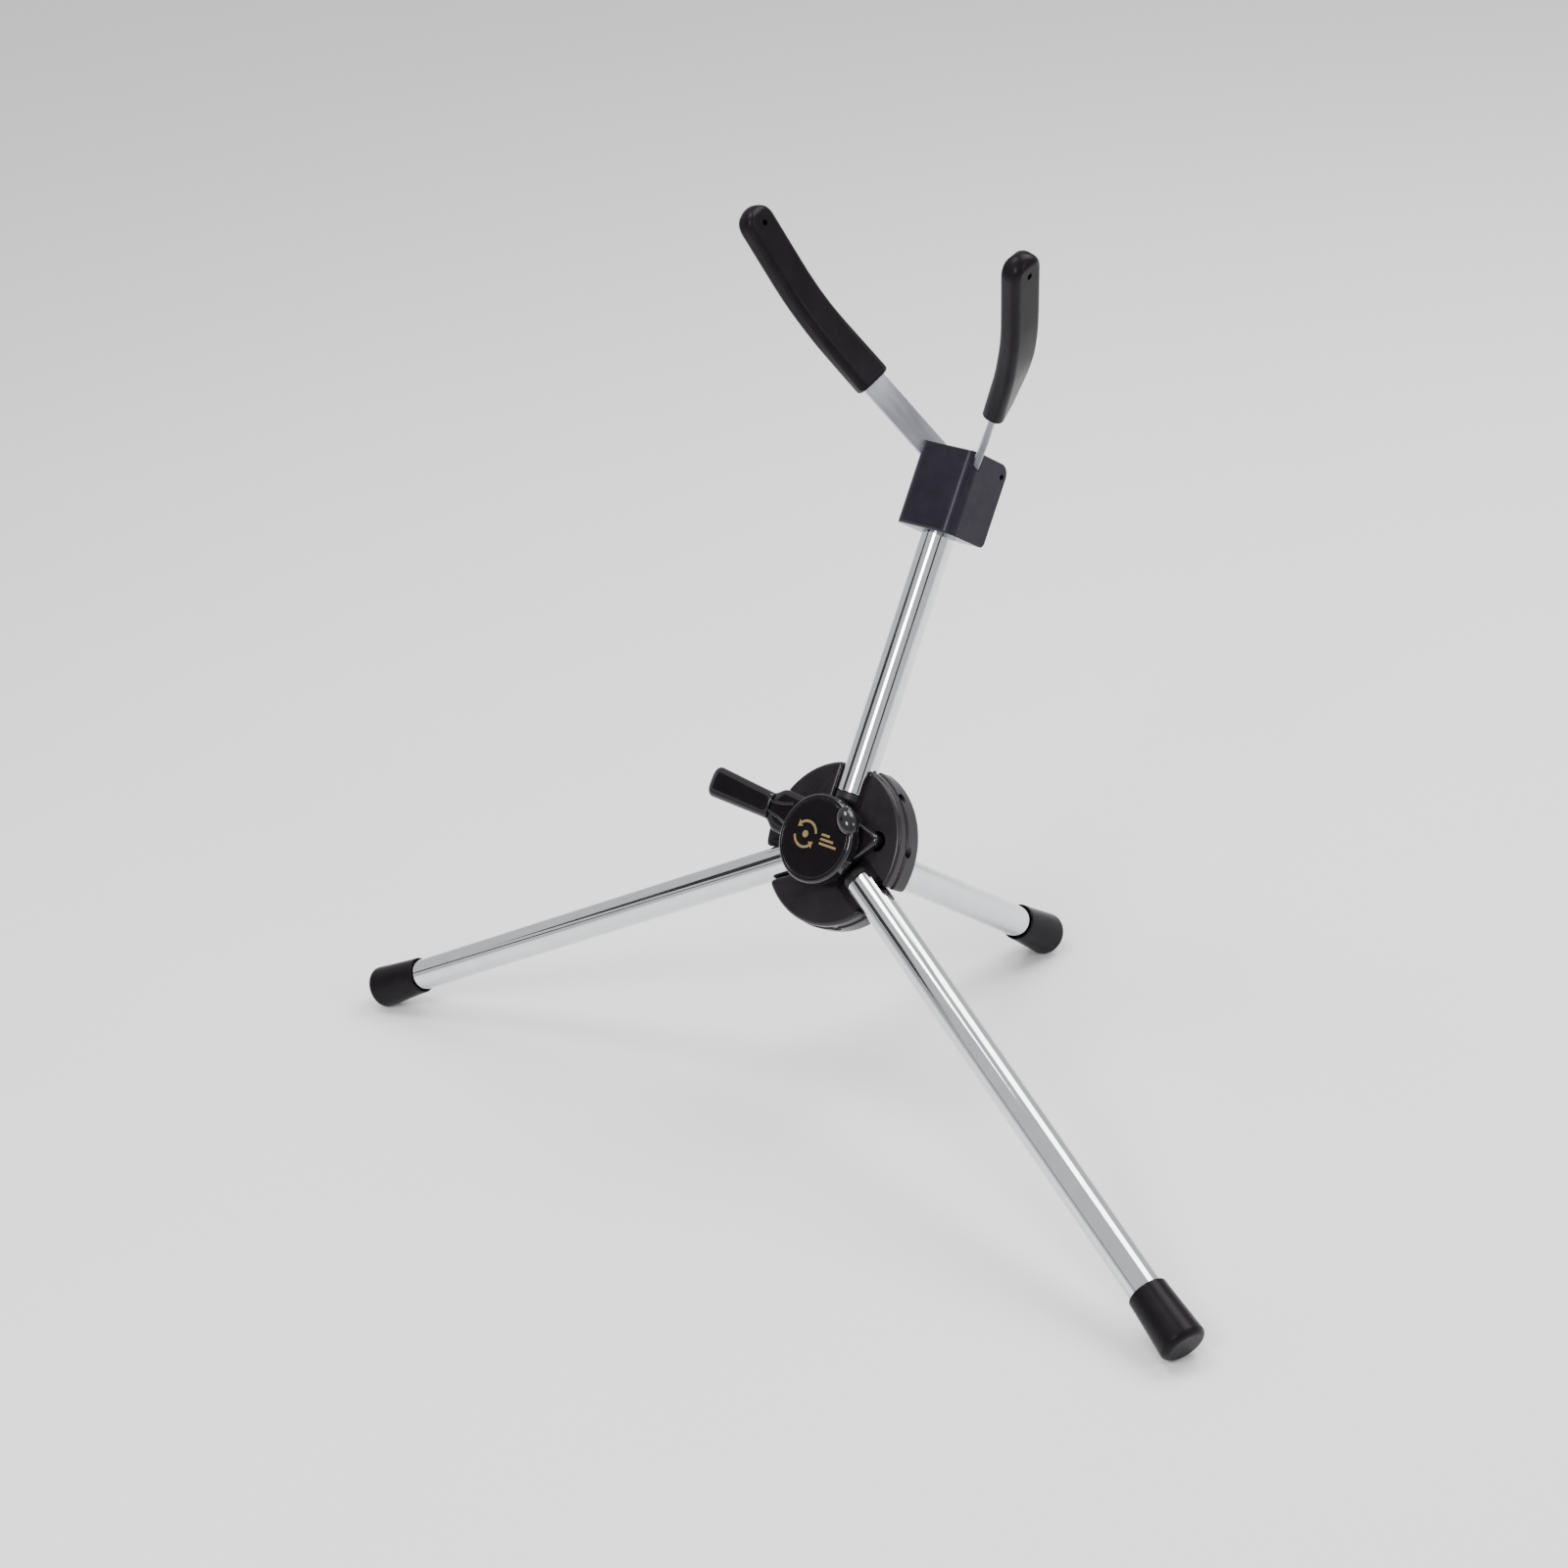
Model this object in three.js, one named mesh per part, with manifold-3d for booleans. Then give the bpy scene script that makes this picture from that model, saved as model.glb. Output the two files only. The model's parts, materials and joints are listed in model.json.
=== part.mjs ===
// Folding saxophone stand: a clamp drum carries a rear leg, two folding front legs and a folding
// upright, whose head holds a pair of padded swing arms. Millimetres, +Z up, the player stands at -Y.
// The stand is modelled in the drum's own frame (x right, y up the upright, z out of the drum's face),
// which is then leaned back and set on its feet.

import * as THREE from "three";
import { mergeVertices } from "three/addons/utils/BufferGeometryUtils.js";
import Module from "manifold-3d";

const wasm = await Module();
wasm.setup();

// ---------------------------------------------------------------- driving dimensions

const RAD = Math.PI / 180;
const LEAN = 36 * RAD; // the drum's axis rises this much from level, and the upright leans back by it
const GAP = 0.3; // between pieces that touch
const THROUGH = 30; // enough for a bore to pass right through any piece
const SPOKES = { upright: 90 * RAD, left: 210 * RAD, right: 330 * RAD };

const TUBE_R = 8;
const TUBE_BORE_R = 7;
const REAR_TILT = 4 * RAD; // the rear leg is steeper than the drum's axis by this
const LEG_REACH = 301; // drum axis to the very end of a front foot
const FLOOR_FLAT = 0.5; // how far a rubber foot is flattened where it bears on the floor

const DRUM_R = 40.3; // back half
const DRUM_FACE_R = 39.5; // front half, behind the rounded edge
const DRUM_FACE = 4.4;
const DRUM_STEP = -1.6;
const DRUM_BACK = -10.4;
const BOSS_R = 12; // socket of the rear leg, behind the drum
const BOSS_END = 28; // along the rear leg, from the middle of the drum
const REAR_START = 11; // where the rear tube begins

const SLOT_HALF = TUBE_R + GAP;
const SLOT_ROOT = 19.2; // inner wall of a tube's slot
const LEDGE_END = 25.5; // the slot has a floor up to here, and is open behind from here on
const PIN_R = 1.5;
const PIN_BORE_R = 1.75;
const PIN_RADIUS = 30.6; // hinge pin from the drum's axis
const PIN_Z = -3.2; // hinge pin behind the tubes' centre plane
const PIN_HALF = 22.5;

const NOSE_START = SLOT_ROOT + 0.4;
const TUBE_START = 25.2; // where the chrome begins; the hinge plug's nose is in front of it
const PLUG_END = 47;

const BOLT_R = 4;
const BOLT_BORE_R = 4.25;
const BOLT_END = 14.6;
const BOLT_HEAD = { r: 7.2, from: -9.8, to: -6.5, room: 0.7 };
const PLATE_R = 18.6;
const PLATE_TOP = 9;
const PLATE_EDGE = 1.6;
const TAB = { x: 25.4, y: 7.7, r: 3.3, bottom: -1.8, top: 9.2 };
const POCKET = { r: 8, floor: -3.4 };
const WASHER = { r: 11, from: PLATE_TOP + GAP, to: PLATE_TOP + 1.3 };

const KNOB = { r: 21.5, from: 10.6, face: 17.6, edge: 1.6 };
const KNOB_CAP = { r: 18.9, from: 16.2, to: 17.5 };
const INSERT = { r: 6.2, from: 10.9, to: 15.4 };
const LEVER = { angle: 176 * RAD, aside: 5, reach: 76, neck: 38, from: 9.8, top: 14.4 };
const NUB = { at: 19.2, angle: 47 * RAD, across: 4.8, along: 6.8, height: 4.4, middle: 15 };

const HEAD = { half: 17.1, bottom: 154, top: 194.5, front: 15, back: -13.5, wall: 2.4, corner: 6 };
const KEYHOLE = { r: 1.5, y: 188.6, z: -10 };
const UPRIGHT_END = 175.6;
const HEAD_SCREW_Y = 168;
const SCREW_HEAD = { r: 3.7, topR: 2.6, height: 2.2, rim: 1.2, slot: 1 };
const BLOCK_RECESS = 2.4; // how far the nylon block stops short of the housing's open back
const SCREW_R = 2;
const SCREW_BORE_R = 2.3;

// An arm swings in an upright plane that points half forwards. It leans from the upright by `lean`.
// Between two lengths its strip twists to face upwards, and over another stretch it bends inwards.
const ARM = { plan: 50 * RAD, lean: 61 * RAD, width: 12.4, thick: 3, length: 138 };
const TWIST = { from: 30, to: 92, angle: 28 * RAD };
const BEND = { from: 75, to: 115, angle: 16 * RAD };
const ARM_PIVOT = { x: 9.5, y: 188.2, z: 2 };
const ARM_SLOT = 3.7;
const RIVET_R = 2;
const RIVET_BORE_R = 2.3;
const RIVET_OUT = 3.8; // how far the rivet reaches from the strip towards the head's back corner
const RIVET_IN = 6; // and towards its front
const SLEEVE = { from: 50, to: 151.5, width: 18, thick: 10.4, edge: 3.4, hole: 1.5, holeFromEnd: 9 };

const FOOT = { length: 30, lip: 0.6, mouthR: 9.3, endR: 10.8, edge: 3, floor: 4.3 };

// ---------------------------------------------------------------- materials

function finish(color, roughness, metalness) {
  return new THREE.MeshStandardMaterial({ color, roughness, metalness });
}

const CHROME = finish(0xd9dadc, 0.12, 1);
const STEEL = finish(0xa9abb0, 0.38, 1);
const BRASS = finish(0xc0a050, 0.35, 1);
const DRUM_PLASTIC = finish(0x2a2527, 0.45, 0);
const GLOSS_PLASTIC = finish(0x151416, 0.15, 0);
const HEAD_PLASTIC = finish(0x1f2028, 0.35, 0);
const NYLON = finish(0x17181c, 0.5, 0);
const RUBBER = finish(0x1b1b1c, 0.55, 0);

// ---------------------------------------------------------------- solids

// A closed three.js geometry as a manifold solid: coincident vertices are merged and the
// zero-area triangles that this leaves are dropped.
function solid(geometry) {
  const bare = new THREE.BufferGeometry();
  bare.setAttribute("position", geometry.getAttribute("position"));
  bare.setIndex(geometry.index);
  const merged = mergeVertices(bare, 1e-4);
  const corners = merged.index.array;
  const triVerts = [];
  for (let i = 0; i < corners.length; i += 3) {
    const [a, b, c] = corners.slice(i, i + 3);
    if (a !== b && b !== c && c !== a) triVerts.push(a, b, c);
  }
  const mesh = new wasm.Mesh({
    numProp: 3,
    vertProperties: merged.getAttribute("position").array,
    triVerts: new Uint32Array(triVerts),
  });
  return new wasm.Manifold(mesh);
}

function join(first, ...others) {
  return others.reduce((sum, other) => sum.add(other), first);
}

function cut(first, ...tools) {
  return tools.reduce((left, tool) => left.subtract(tool), first);
}

// Adds a solid to a group as a named mesh.
function piece(parent, name, made, material) {
  const { vertProperties, triVerts } = made.getMesh();
  const geometry = new THREE.BufferGeometry();
  geometry.setAttribute("position", new THREE.BufferAttribute(vertProperties, 3));
  geometry.setIndex(new THREE.BufferAttribute(triVerts, 1));
  geometry.computeVertexNormals();
  const mesh = new THREE.Mesh(geometry, material);
  mesh.name = name;
  parent.add(mesh);
  return mesh;
}

function block([x0, x1], [y0, y1], [z0, z1]) {
  const box = new THREE.BoxGeometry(x1 - x0, y1 - y0, z1 - z0);
  return box.translate((x0 + x1) / 2, (y0 + y1) / 2, (z0 + z1) / 2);
}

// A cylinder along +X, from one x to another.
function rodX(radius, from, to, segments = 24) {
  const rod = new THREE.CylinderGeometry(radius, radius, to - from, segments);
  return rod.rotateZ(-Math.PI / 2).translate((from + to) / 2, 0, 0);
}

function rodY(radius, from, to, segments = 24) {
  const rod = new THREE.CylinderGeometry(radius, radius, to - from, segments);
  return rod.translate(0, (from + to) / 2, 0);
}

function rodZ(radius, from, to, segments = 24) {
  const rod = new THREE.CylinderGeometry(radius, radius, to - from, segments);
  return rod.rotateX(Math.PI / 2).translate(0, 0, (from + to) / 2);
}

// A turned piece. The profile is [radius, position along the axis], starting and ending on the axis.
function turned(profile, segments) {
  return new THREE.LatheGeometry(profile.map(([r, along]) => new THREE.Vector2(r, along)), segments);
}

function turnedX(profile, segments = 24) {
  return turned(profile, segments).rotateZ(-Math.PI / 2);
}

function turnedZ(profile, segments = 48) {
  return turned(profile, segments).rotateX(Math.PI / 2);
}

// Points of a quarter round, from one angle to another, for a turned profile.
function round(r, along, radius, from, to, steps = 3) {
  return Array.from({ length: steps + 1 }, (_, i) => {
    const angle = (from + ((to - from) * i) / steps) * RAD;
    return [r + radius * Math.cos(angle), along + radius * Math.sin(angle)];
  });
}

// A flat outline raised from z0 to z1. A bevel rounds both rims without growing the outline.
function raised(shape, z0, z1, bevel = 0, curveSegments = 8) {
  const options = {
    depth: z1 - z0 - 2 * bevel,
    curveSegments,
    bevelEnabled: bevel > 0,
    bevelThickness: bevel,
    bevelSize: bevel,
    bevelOffset: -bevel,
    bevelSegments: 2,
  };
  return new THREE.ExtrudeGeometry(shape, options).translate(0, 0, z0 + bevel);
}

// A rectangle whose four corners have their own radii: [low left, low right, high right, high left].
function roundedRectangle(x0, y0, x1, y1, [a, b, c, d]) {
  const shape = new THREE.Shape();
  shape.moveTo(x0 + a, y0).lineTo(x1 - b, y0);
  if (b) shape.absarc(x1 - b, y0 + b, b, -Math.PI / 2, 0);
  shape.lineTo(x1, y1 - c);
  if (c) shape.absarc(x1 - c, y1 - c, c, 0, Math.PI / 2);
  shape.lineTo(x0 + d, y1);
  if (d) shape.absarc(x0 + d, y1 - d, d, Math.PI / 2, Math.PI);
  shape.lineTo(x0, y0 + a);
  if (a) shape.absarc(x0 + a, y0 + a, a, Math.PI, 1.5 * Math.PI);
  return shape;
}

// ---------------------------------------------------------------- frames

const stand = new THREE.Group();
const drumFrame = new THREE.Group();
drumFrame.rotation.x = Math.PI / 2 - LEAN;
stand.add(drumFrame);

// In a spoke's frame +x runs out of the drum along the tube and z stays the drum's axis.
function spokeFrame(angle) {
  const frame = new THREE.Group();
  frame.rotation.z = angle;
  drumFrame.add(frame);
  return frame;
}

// The drum's height above the floor, set by the front feet: the lowest point of a foot is on the
// round between its side and its end.
const legSlope = Math.asin(Math.sin(-SPOKES.right) * Math.cos(LEAN));

function footDrop(reach, slope) {
  const along = (reach - FOOT.edge) * Math.sin(slope);
  return along + (FOOT.endR - FOOT.edge) * Math.cos(slope) + FOOT.edge;
}

const drumHeight = footDrop(LEG_REACH, legSlope) - FLOOR_FLAT;
drumFrame.position.z = drumHeight;

// The rear leg runs down from the middle of the drum to the same floor. In its frame +x is along it.
const rearSlope = LEAN + REAR_TILT;
const rearEnd = (FOOT.endR - FOOT.edge) * Math.cos(rearSlope) + FOOT.edge;
const REAR_REACH = (drumHeight + FLOOR_FLAT - rearEnd) / Math.sin(rearSlope) + FOOT.edge;
const rearFrame = new THREE.Group();
rearFrame.rotation.set(0, Math.PI / 2, -REAR_TILT);
rearFrame.updateMatrix();
drumFrame.add(rearFrame);

function alongRearLeg(geometry) {
  return geometry.applyMatrix4(rearFrame.matrix);
}

// The space under the floor, seen from a frame inside the stand, for flattening a foot.
function underFloor(frame) {
  stand.updateMatrixWorld(true);
  const slab = block([-500, 500], [-500, 500], [-60, 0]);
  return slab.applyMatrix4(frame.matrixWorld.clone().invert());
}

// ---------------------------------------------------------------- legs and feet

function tubeX(from, to) {
  return cut(solid(rodX(TUBE_R, from, to)), solid(rodX(TUBE_BORE_R, from - 1, to + 1)));
}

// A rubber foot over a tube's end, flattened by the floor.
function foot(frame, name, reach) {
  const mouth = reach - FOOT.length;
  const { endR, edge } = FOOT;
  const outside = [
    [0, mouth],
    [FOOT.mouthR - FOOT.lip, mouth],
    [FOOT.mouthR, mouth + FOOT.lip],
    ...round(endR - edge, reach - edge, edge, 4, 90, 5),
    [0, reach],
  ];
  const body = solid(turnedX(outside));
  const cavity = solid(rodX(TUBE_R + GAP, mouth - 1, reach - FOOT.floor + GAP));
  piece(frame, name, cut(body, cavity, solid(underFloor(frame))), RUBBER);
}

// The pin's own way through a tube and its plug, in a spoke's frame.
function pinBore(reach) {
  return rodY(PIN_BORE_R, -reach, reach, 16).translate(PIN_RADIUS, 0, PIN_Z);
}

function hingePlug(frame, name) {
  const nose = 3;
  const profile = [
    [0, NOSE_START],
    ...round(TUBE_R - nose, NOSE_START + nose, nose, -90, 0),
    [TUBE_R, TUBE_START - GAP],
    [TUBE_BORE_R - GAP, TUBE_START - GAP],
    [TUBE_BORE_R - GAP, PLUG_END - 1],
    [TUBE_BORE_R - GAP - 1, PLUG_END],
    [0, PLUG_END],
  ];
  piece(frame, name, cut(solid(turnedX(profile)), solid(pinBore(12))), NYLON);
}

function hingePin(frame, name) {
  const chamfer = 0.4;
  const profile = [
    [0, -PIN_HALF],
    [PIN_R - chamfer, -PIN_HALF],
    [PIN_R, -PIN_HALF + chamfer],
    [PIN_R, PIN_HALF - chamfer],
    [PIN_R - chamfer, PIN_HALF],
    [0, PIN_HALF],
  ];
  const pin = turned(profile, 16).translate(PIN_RADIUS, 0, PIN_Z);
  piece(frame, name, solid(pin), STEEL);
}

function frontLeg(side) {
  const frame = spokeFrame(SPOKES[side]);
  const tube = cut(tubeX(TUBE_START, LEG_REACH - FOOT.floor), solid(pinBore(12)));
  piece(frame, `${side}_leg_tube`, tube, CHROME);
  hingePlug(frame, `${side}_leg_hinge_plug`);
  hingePin(frame, `${side}_leg_hinge_pin`);
  foot(frame, `${side}_foot`, LEG_REACH);
}

const rearRivetAt = (REAR_START + BOSS_END) / 2 + 1;

function rearLeg() {
  const rivetBore = rodY(SCREW_BORE_R, -THROUGH, THROUGH, 16).translate(rearRivetAt, 0, 0);
  const tube = cut(tubeX(REAR_START, REAR_REACH - FOOT.floor), solid(rivetBore));
  piece(rearFrame, "rear_leg_tube", tube, CHROME);
  const half = BOSS_R - 0.4;
  const rivet = rodY(SCREW_R, -half, half, 16).translate(rearRivetAt, 0, 0);
  piece(rearFrame, "rear_leg_rivet", solid(rivet), STEEL);
  foot(rearFrame, "rear_foot", REAR_REACH);
}

// ---------------------------------------------------------------- drum

function drumBlank() {
  const edge = 1.8;
  const drum = [
    [0, DRUM_BACK],
    [DRUM_R - 1, DRUM_BACK],
    [DRUM_R, DRUM_BACK + 1],
    [DRUM_R, DRUM_STEP - 0.4],
    [DRUM_R - 0.4, DRUM_STEP],
    [DRUM_FACE_R, DRUM_STEP],
    ...round(DRUM_FACE_R - edge, DRUM_FACE - edge, edge, 0, 90),
    [0, DRUM_FACE],
  ];
  const boss = [
    [0, 5],
    [BOSS_R, 5],
    [BOSS_R, BOSS_END - 1],
    [BOSS_R - 1, BOSS_END],
    [0, BOSS_END],
  ];
  return join(solid(turnedZ(drum, 72)), solid(alongRearLeg(turnedX(boss, 36))));
}

// A tube's slot: floored near the middle, where the ledge stops the tube, and open beyond it.
function slotTools(angle) {
  const over = DRUM_FACE + 1;
  const floored = block([SLOT_ROOT, LEDGE_END + 1], [-SLOT_HALF, SLOT_HALF], [-SLOT_HALF, over]);
  const open = block([LEDGE_END, DRUM_R + 5], [-SLOT_HALF, SLOT_HALF], [DRUM_BACK - 1, over]);
  const bore = pinBore(THROUGH);
  return [floored, open, bore].map((tool) => solid(tool.rotateZ(angle)));
}

function hubBody() {
  const socket = alongRearLeg(rodX(TUBE_R + GAP, REAR_START - GAP, BOSS_END + 1));
  const rivetBore = alongRearLeg(rodY(SCREW_BORE_R, -THROUGH, THROUGH, 16).translate(rearRivetAt, 0, 0));
  const boltBore = rodZ(BOLT_BORE_R, DRUM_BACK - 1, DRUM_FACE + 1);
  const headPocket = rodZ(BOLT_HEAD.r + BOLT_HEAD.room, DRUM_BACK - 1, BOLT_HEAD.to + GAP, 6);
  const pocket = rodZ(POCKET.r, POCKET.floor, DRUM_FACE + 1, 32).translate(TAB.x - 1, TAB.y, 0);
  const tools = [socket, rivetBore, boltBore, headPocket, pocket].map(solid);
  const slots = Object.values(SPOKES).flatMap(slotTools);
  piece(drumFrame, "hub_body", cut(drumBlank(), ...tools, ...slots), DRUM_PLASTIC);
}

// ---------------------------------------------------------------- clamp

// The bolt's way through a piece that it clamps or is screwed into.
function boltWay() {
  return solid(rodZ(BOLT_BORE_R, 0, THROUGH, 24));
}

function clampBolt() {
  const head = solid(rodZ(BOLT_HEAD.r, BOLT_HEAD.from, BOLT_HEAD.to, 6));
  const shank = solid(rodZ(BOLT_R, BOLT_HEAD.from + 1, BOLT_END, 24));
  piece(drumFrame, "clamp_bolt", join(head, shank), STEEL);
}

// The tab: a tapering tongue from the plate to a round tip, with a peg that keys into the pocket.
function tabOutline() {
  const reach = Math.hypot(TAB.x, TAB.y);
  const root = 16.4;
  const spread = Math.asin((root - TAB.r) / reach);
  const shape = new THREE.Shape();
  shape.absarc(reach, 0, TAB.r, -Math.PI / 2 + spread, Math.PI / 2 - spread);
  shape.absarc(0, 0, root, Math.PI / 2 - spread, 1.5 * Math.PI + spread);
  return shape;
}

function clampPlate() {
  const profile = [
    [0, DRUM_FACE + GAP],
    [PLATE_R, DRUM_FACE + GAP],
    ...round(PLATE_R - PLATE_EDGE, PLATE_TOP - PLATE_EDGE, PLATE_EDGE, 0, 90),
    [0, PLATE_TOP],
  ];
  const tongue = raised(tabOutline(), DRUM_FACE + GAP, TAB.top, 1.4).rotateZ(Math.atan2(TAB.y, TAB.x));
  const peg = rodZ(TAB.r - 0.2, TAB.bottom, TAB.top - 2, 16).translate(TAB.x, TAB.y, 0);
  const plate = join(solid(turnedZ(profile)), solid(tongue), solid(peg));
  const bore = rodZ(BOLT_BORE_R, TAB.bottom - 1, PLATE_TOP + 1, 24);
  piece(drumFrame, "clamp_plate", cut(plate, solid(bore)), GLOSS_PLASTIC);
  const washer = solid(rodZ(WASHER.r, WASHER.from, WASHER.to));
  piece(drumFrame, "clamp_washer", cut(washer, boltWay()), STEEL);
}

// ---------------------------------------------------------------- lever knob

// The lever seen from the front, pointing along +x: shoulders, a neck and a widening paddle.
function leverOutline() {
  const { reach, neck } = LEVER;
  const tip = 7.6;
  const corner = 5;
  const edge = [[12, 11], [25, 10.4], [30, 9.6], [34, 8.2], [neck, 6.7]];
  const shape = new THREE.Shape();
  shape.moveTo(edge[0][0], -edge[0][1]);
  edge.slice(1).forEach(([x, y]) => shape.lineTo(x, -y));
  shape.absarc(reach - corner, corner - tip, corner, -Math.PI / 2, 0);
  shape.absarc(reach - corner, tip - corner, corner, 0, Math.PI / 2);
  edge.reverse().forEach(([x, y]) => shape.lineTo(x, y));
  return shape;
}

function knobHead() {
  const { r, from, face, edge } = KNOB;
  const profile = [
    [0, from],
    [r - 1, from],
    [r, from + 1],
    ...round(r - edge, face - edge, edge, 0, 90),
    [0, face],
  ];
  return solid(turnedZ(profile, 60));
}

// The thumb nub: an egg lying along the rim, larger by a margin where room is made for it.
function nub(margin) {
  const { at, angle, across, along, height, middle } = NUB;
  const egg = new THREE.SphereGeometry(1, 20, 12);
  egg.scale(across + margin, along + margin, height + margin);
  return solid(egg.translate(at, 0, middle).rotateZ(angle));
}

function leverKnob() {
  const lever = raised(leverOutline(), LEVER.from, LEVER.top, 1.4).translate(0, -LEVER.aside, 0);
  const recess = rodZ(KNOB_CAP.r + GAP, KNOB_CAP.from - GAP, KNOB.face + 3, 48);
  const bore = rodZ(INSERT.r + GAP, KNOB.from - 1, KNOB_CAP.from);
  const knob = join(cut(knobHead(), solid(recess)), solid(lever.rotateZ(LEVER.angle)), nub(0));
  piece(drumFrame, "lever_knob", cut(knob, solid(bore)), GLOSS_PLASTIC);
  const cap = cut(solid(rodZ(KNOB_CAP.r, KNOB_CAP.from, KNOB_CAP.to, 48)), nub(GAP));
  piece(drumFrame, "knob_cap", cap, GLOSS_PLASTIC);
  const insert = solid(rodZ(INSERT.r, INSERT.from, INSERT.to, 24));
  piece(drumFrame, "knob_insert", cut(insert, boltWay()), BRASS);
}

// ---------------------------------------------------------------- upright and head

function upright() {
  const frame = spokeFrame(SPOKES.upright);
  const screwWay = rodZ(SCREW_BORE_R, -THROUGH, THROUGH, 16).translate(HEAD_SCREW_Y, 0, 0);
  const tube = cut(tubeX(TUBE_START, UPRIGHT_END), solid(pinBore(12)), solid(screwWay));
  piece(frame, "upright_tube", tube, CHROME);
  hingePlug(frame, "upright_hinge_plug");
  hingePin(frame, "upright_hinge_pin");
}

// ---------------------------------------------------------------- swing arms

// In an arm's swing frame +x is outwards in the plane it swings in, +y up the upright and z its
// pivot's axis, with the origin on the pivot.
const ARM_SIDES = {
  right: { sign: 1, turn: -ARM.plan },
  left: { sign: -1, turn: ARM.plan - Math.PI },
};

function inSwingFrame(geometry, side) {
  const { sign, turn } = ARM_SIDES[side];
  return geometry.rotateY(turn).translate(sign * ARM_PIVOT.x, ARM_PIVOT.y, ARM_PIVOT.z);
}

// A group whose +x runs up the leaning arm and whose +y is the inner face of its strip.
function armFrame(side) {
  const { sign, turn } = ARM_SIDES[side];
  const swing = new THREE.Group();
  swing.position.set(sign * ARM_PIVOT.x, ARM_PIVOT.y, ARM_PIVOT.z);
  swing.rotation.y = turn;
  const lean = new THREE.Group();
  lean.rotation.z = Math.PI / 2 - ARM.lean;
  const face = new THREE.Group();
  face.rotation.x = (sign * Math.PI) / 2;
  drumFrame.add(swing);
  swing.add(lean);
  lean.add(face);
  return face;
}

// How much of a turn that is spread evenly over a stretch falls between two lengths.
function turnBetween(start, end, { from, to, angle }) {
  const shared = Math.min(end, to) - Math.max(start, from);
  return (angle * Math.max(shared, 0)) / (to - from);
}

// The frame on an arm's centre line at a length from its pivot: +x along it, +y its inner face.
function onArm(side, length) {
  const steps = Math.max(Math.ceil(length / 4), 1);
  const step = length / steps;
  const point = new THREE.Object3D();
  for (let i = 0; i < steps; i++) {
    const stretch = [i * step, (i + 1) * step];
    point.translateX(step / 2);
    point.rotateX(-ARM_SIDES[side].sign * turnBetween(...stretch, TWIST));
    point.rotateZ(turnBetween(...stretch, BEND));
    point.translateX(step / 2);
  }
  point.updateMatrix();
  return point.matrix;
}

// A rectangle across the arm with rounded corners, counter-clockwise about +x.
function armSection(thick, width, edge) {
  const r = Math.min(edge, 0.45 * thick, 0.45 * width);
  const steps = edge ? 3 : 0;
  const corners = [[1, -1], [1, 1], [-1, 1], [-1, -1]];
  return corners.flatMap(([y, z], corner) =>
    Array.from({ length: steps + 1 }, (_, i) => {
      const angle = ((corner - 1 + i / (steps || 1)) * Math.PI) / 2;
      const along = y * (thick / 2 - r) + r * Math.cos(angle);
      return new THREE.Vector3(0, along, z * (width / 2 - r) + r * Math.sin(angle));
    }),
  );
}

// A skin through rings of points, each counter-clockwise about the way the rings follow each other.
function lofted(rings) {
  const count = rings[0].length;
  const last = (rings.length - 1) * count;
  const index = [];
  for (let a = 0; a < last; a++) {
    const b = (a + 1) % count ? a + 1 : a + 1 - count;
    index.push(a, b, b + count, a, b + count, a + count);
  }
  for (let j = 2; j < count; j++) index.push(0, j, j - 1, last, last + j - 1, last + j);
  const skin = new THREE.BufferGeometry().setFromPoints(rings.flat());
  skin.setIndex(index);
  return skin;
}

// A bar along the arm, whose width is rounded off at both ends.
function armBar(side, { from, to, thick, width, edge = 0, low, high }) {
  const angles = [12, 40, 65, 90];
  const rings = [];
  const ring = (length, across) => {
    const section = armSection(thick, across, edge);
    const place = onArm(side, length);
    rings.push(section.map((point) => point.applyMatrix4(place)));
  };
  const middle = Math.round((to - from - low - high) / 12);
  const end = (start, sense, radius, angle) => {
    const across = width - 2 * radius * (1 - Math.sin(angle * RAD));
    ring(start + sense * radius * (1 - Math.cos(angle * RAD)), across);
  };
  angles.forEach((angle) => end(from, 1, low, angle));
  for (let i = 1; i < middle; i++) {
    ring(from + low + (i / middle) * (to - from - low - high), width);
  }
  angles.reverse().forEach((angle) => end(to, -1, high, angle));
  return solid(lofted(rings));
}

function armStrip(side) {
  const { thick, width, length } = ARM;
  const half = width / 2;
  const bar = armBar(side, { from: -half, to: length, thick, width, low: half, high: half });
  return cut(bar, solid(rodY(RIVET_BORE_R, -5, 5, 16)));
}

function armSleeve(side) {
  const { from, to, width, thick, edge } = SLEEVE;
  const body = armBar(side, { from, to, thick, width, edge, low: 3, high: width / 2 });
  const room = { thick: ARM.thick + 2 * GAP, width: ARM.width + 2 * GAP };
  const high = room.width / 2;
  const cavity = armBar(side, { from: from - 4, to: ARM.length + GAP, ...room, low: 1, high });
  const hole = rodY(SLEEVE.hole, -THROUGH, THROUGH, 16).applyMatrix4(onArm(side, to - SLEEVE.holeFromEnd));
  return cut(body, cavity, solid(hole));
}

function arm(side) {
  const frame = armFrame(side);
  piece(frame, `${side}_arm_strip`, armStrip(side), STEEL);
  piece(frame, `${side}_arm_sleeve`, armSleeve(side), RUBBER);
  piece(frame, `${side}_arm_rivet`, solid(rodY(RIVET_R, -RIVET_OUT, RIVET_IN, 16)), STEEL);
}

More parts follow.
